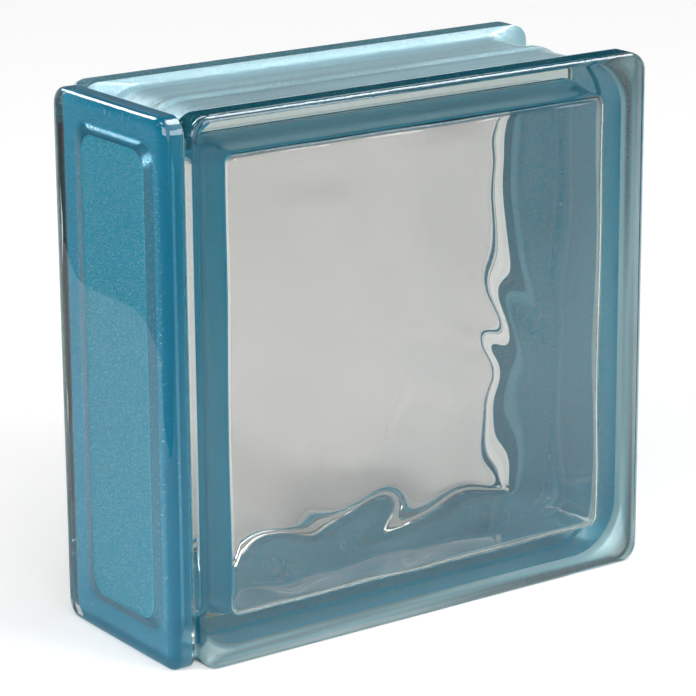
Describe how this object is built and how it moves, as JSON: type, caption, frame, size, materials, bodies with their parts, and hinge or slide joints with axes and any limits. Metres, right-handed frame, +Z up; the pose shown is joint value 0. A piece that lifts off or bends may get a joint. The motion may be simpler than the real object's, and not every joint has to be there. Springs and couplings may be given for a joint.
{
  "type": "glass block",
  "caption": "Square hollow glass block with a wavy inner relief, coloured coated edges and a glass panel over one end.",
  "frame": {"origin": "middle of the base, at the centre of the whole block with its end panel", "axes": "+X along the width, away from the end panel; +Y through the depth, from the front face to the back; +Z up"},
  "size_m": [0.1988, 0.08, 0.19],
  "materials": {
    "block_glass": "clear pressed glass, fire polished",
    "panel_glass": "clear pressed glass, fire polished",
    "blue_coating": "pearlescent blue coating, seen through the glass"
  },
  "bodies": {
    "root": {"glass_block": "block_glass", "end_panel": "panel_glass", "side_coating": "blue_coating", "panel_coating": "blue_coating"}
  },
  "joints": []
}
